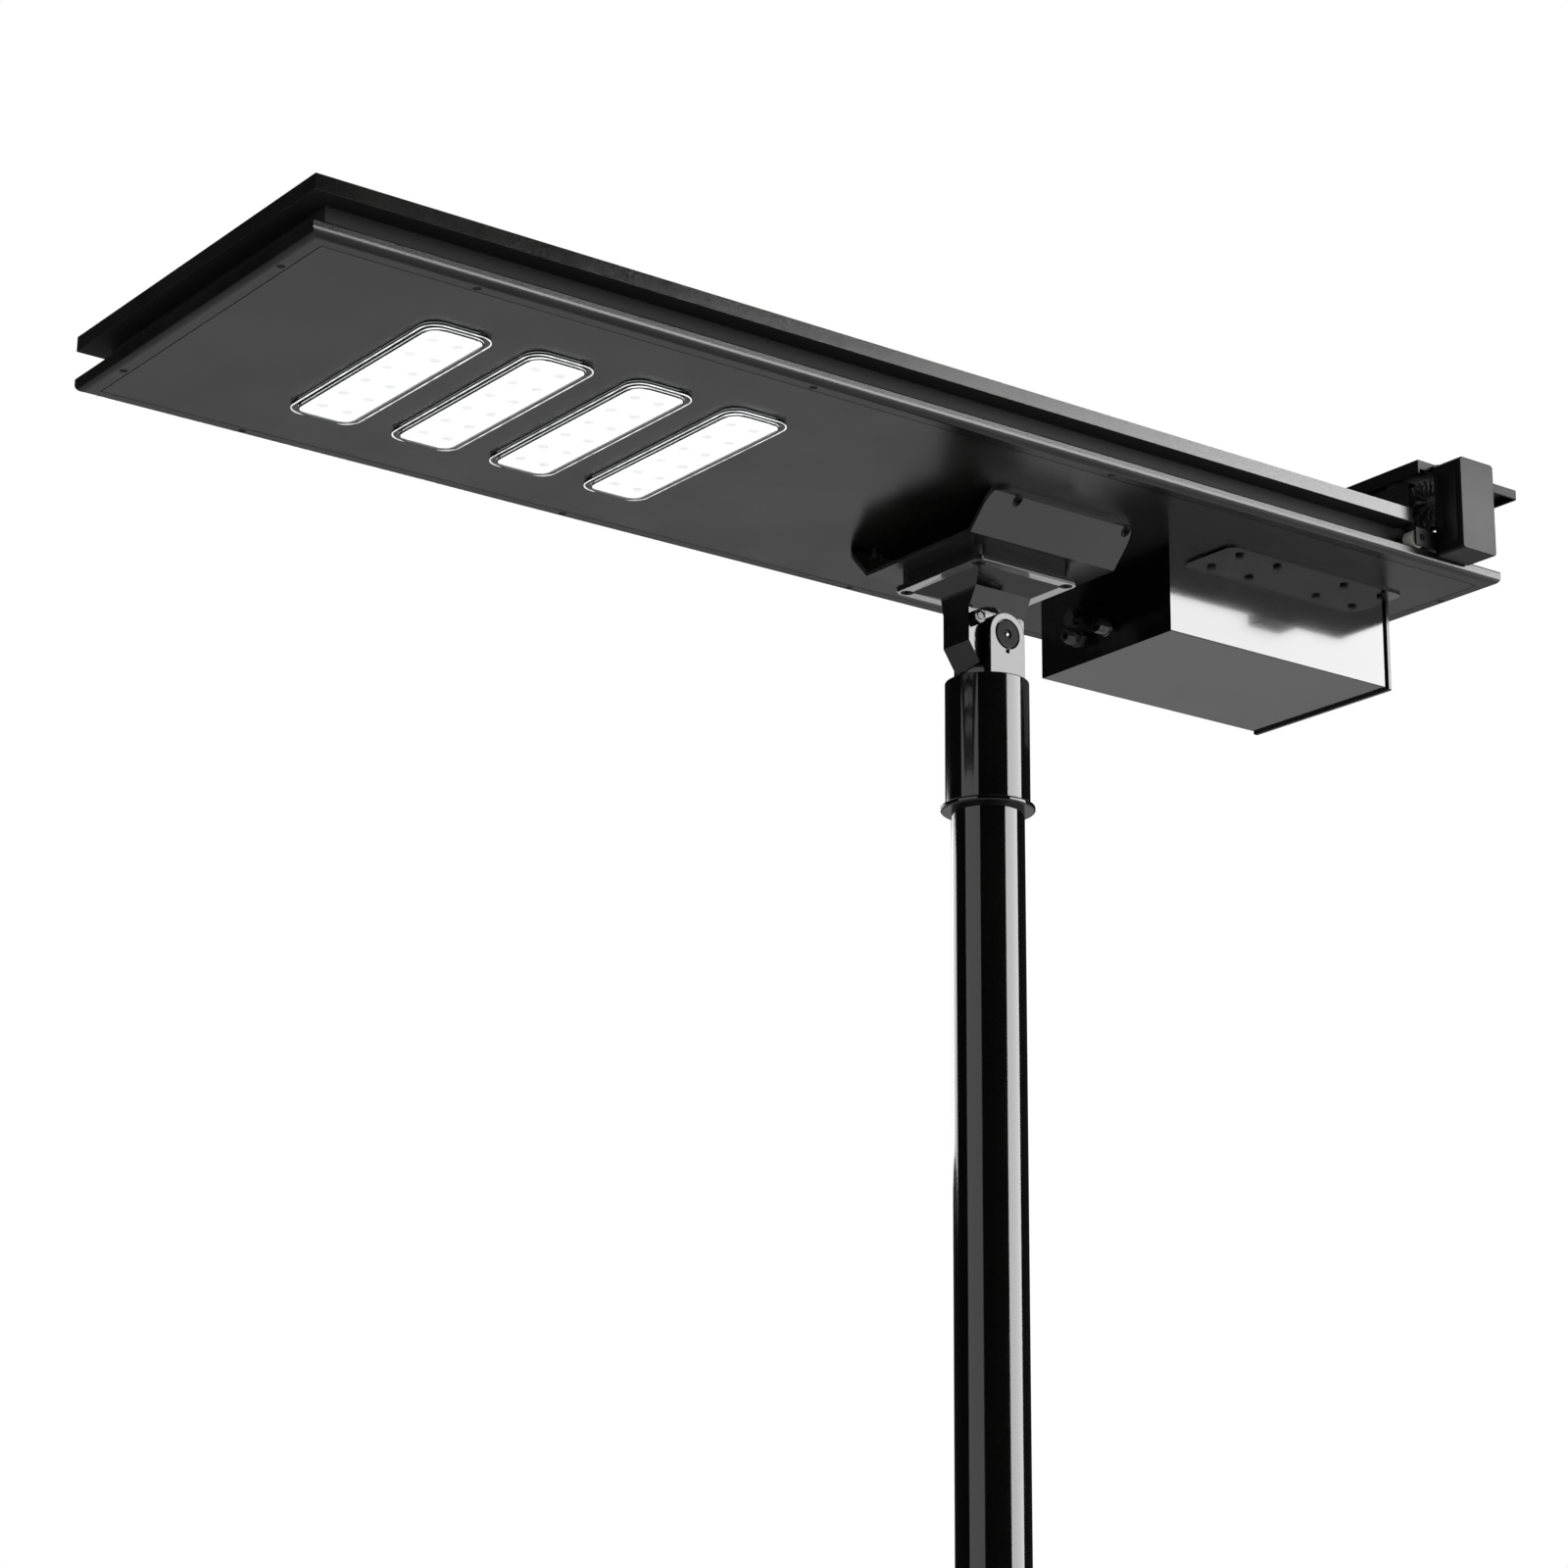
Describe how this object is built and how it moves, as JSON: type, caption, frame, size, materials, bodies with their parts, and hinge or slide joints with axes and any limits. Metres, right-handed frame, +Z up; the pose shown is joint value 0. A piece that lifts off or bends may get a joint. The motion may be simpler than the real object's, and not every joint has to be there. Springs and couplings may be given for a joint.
{
  "type": "solar street lamp",
  "caption": "Pole-mounted solar street lamp: flat LED and panel head on a tilting knuckle and sleeve, battery box below, travelling brush that cleans the panel.",
  "frame": {"origin": "centre of the foot flange's underside, on the pole's axis", "axes": "+Z up along the pole, -X towards the LED end of the head, +X towards the battery and brush end, -Y towards the side that carries the brush drive"},
  "size_m": [1.516, 0.532, 1.6375],
  "materials": {
    "gloss_black": "gloss black powder coat",
    "textured_black": "fine-textured black powder coat on aluminium",
    "satin_black_steel": "satin black paint on folded steel",
    "cast_black": "black-coated casting",
    "bolt_steel": "plain steel",
    "black_screw": "blackened steel",
    "zinc_steel": "zinc plated",
    "pv_glass": "low-iron tempered glass",
    "pv_cells": "dark laminate with cells",
    "clear_lens": "clear moulded lens",
    "seal": "black silicone",
    "led_board": "white board",
    "bare_aluminium": "mill finish",
    "black_plastic": "moulded black plastic",
    "button_plastic": "moulded plastic",
    "battery_wrap": "shrink wrap",
    "controller_case": "anodised case",
    "bristle": "nylon bristles",
    "white_gear": "acetal",
    "motor_case": "plated case",
    "blade_rubber": "rubber"
  },
  "bodies": {
    "pole": {"pole_tube": "gloss_black", "foot_flange": "gloss_black", "foot_gussets": "gloss_black"},
    "sleeve": {"sleeve_tube": "gloss_black", "sleeve_ring": "gloss_black", "sleeve_cap": "gloss_black", "fork_cheeks": "gloss_black", "set_screws": "black_screw", "tilt_bolt": "bolt_steel", "tilt_nut": "bolt_steel", "knuckle_washers": "bolt_steel"},
    "head": {"knuckle_casting": "cast_black", "plate_bolts": "black_screw", "lock_bolt": "bolt_steel", "spacer_block": "cast_black", "hat_bracket": "satin_black_steel", "bracket_bolts": "black_screw", "tray_rails": "textured_black", "base_plate": "textured_black", "border_screws": "black_screw", "panel_frame": "textured_black", "pv_glass": "pv_glass", "pv_cells": "pv_cells", "junction_box": "black_plastic", "bay_deck": "textured_black", "led_lens_1": "clear_lens", "led_lens_2": "clear_lens", "led_lens_3": "clear_lens", "led_lens_4": "clear_lens", "led_gaskets": "seal", "led_boards": "led_board", "heat_spreader": "bare_aluminium", "battery_case": "satin_black_steel", "battery_end_cap": "satin_black_steel", "battery_pack": "battery_wrap", "charge_controller": "controller_case", "battery_screws": "black_screw", "cable_gland": "black_plastic", "charge_socket": "zinc_steel", "button_bezel": "zinc_steel"},
    "button": {"power_button": "button_plastic"},
    "carriage": {"brush_hood": "textured_black", "drive_housing": "black_plastic", "drive_cover": "black_plastic", "idler_housing": "black_plastic", "shaft_bearings": "bolt_steel", "drive_motor": "motor_case", "wheel_pins": "bolt_steel", "wiper_bar": "textured_black", "wiper_blade": "blade_rubber"},
    "brush": {"brush_shaft": "bare_aluminium", "brush_bristles": "bristle", "brush_gear": "white_gear"},
    "pinion": {"motor_pinion": "white_gear"},
    "drive_wheel": {"drive_wheel": "white_gear", "wheel_gear": "white_gear"},
    "guide_wheel_1": {"guide_wheel_1": "white_gear"},
    "guide_wheel_2": {"guide_wheel_2": "white_gear"},
    "guide_wheel_3": {"guide_wheel_3": "white_gear"}
  },
  "joints": [
    {"name": "sleeve_yaw", "type": "hinge", "parent": "pole", "child": "sleeve", "pos_m": [0, 0, 1.2], "axis": [0, 0, 1], "continuous": true},
    {"name": "head_tilt", "type": "hinge", "parent": "sleeve", "child": "head", "pos_m": [0, 0, 1.403], "axis": [0, 1, 0], "range_deg": [-10, 40]},
    {"name": "button_press", "type": "slide", "parent": "head", "child": "button", "axis": [1, 0, 0], "range_m": [0, 0.0025], "stiffness_N_per_m": 600, "springref_m": -0.0015},
    {"name": "brush_travel", "type": "slide", "parent": "head", "child": "carriage", "axis": [-1, 0, 0], "range_m": [0, 1.33]},
    {"name": "brush_spin", "type": "hinge", "parent": "carriage", "child": "brush", "pos_m": [0.462, 0, 1.605], "axis": [0, 1, 0], "continuous": true},
    {"name": "pinion_spin", "type": "hinge", "parent": "carriage", "child": "pinion", "pos_m": [0.462, -0.245, 1.5705], "axis": [0, 1, 0], "continuous": true},
    {"name": "drive_wheel_spin", "type": "hinge", "parent": "carriage", "child": "drive_wheel", "pos_m": [0.462, -0.22, 1.545], "axis": [0, 1, 0], "continuous": true},
    {"name": "guide_wheel_1_spin", "type": "hinge", "parent": "carriage", "child": "guide_wheel_1", "pos_m": [0.412, -0.22, 1.545], "axis": [0, 1, 0], "continuous": true},
    {"name": "guide_wheel_2_spin", "type": "hinge", "parent": "carriage", "child": "guide_wheel_2", "pos_m": [0.412, 0.22, 1.545], "axis": [0, 1, 0], "continuous": true},
    {"name": "guide_wheel_3_spin", "type": "hinge", "parent": "carriage", "child": "guide_wheel_3", "pos_m": [0.462, 0.22, 1.545], "axis": [0, 1, 0], "continuous": true}
  ],
  "couplings": [
    {"joint": "drive_wheel_spin", "follows": "brush_travel", "rad_per_m": -100},
    {"joint": "pinion_spin", "follows": "brush_travel", "rad_per_m": 70},
    {"joint": "brush_spin", "follows": "brush_travel", "rad_per_m": -53.846},
    {"joint": "guide_wheel_1_spin", "follows": "brush_travel", "rad_per_m": -100},
    {"joint": "guide_wheel_2_spin", "follows": "brush_travel", "rad_per_m": -100},
    {"joint": "guide_wheel_3_spin", "follows": "brush_travel", "rad_per_m": -100}
  ]
}
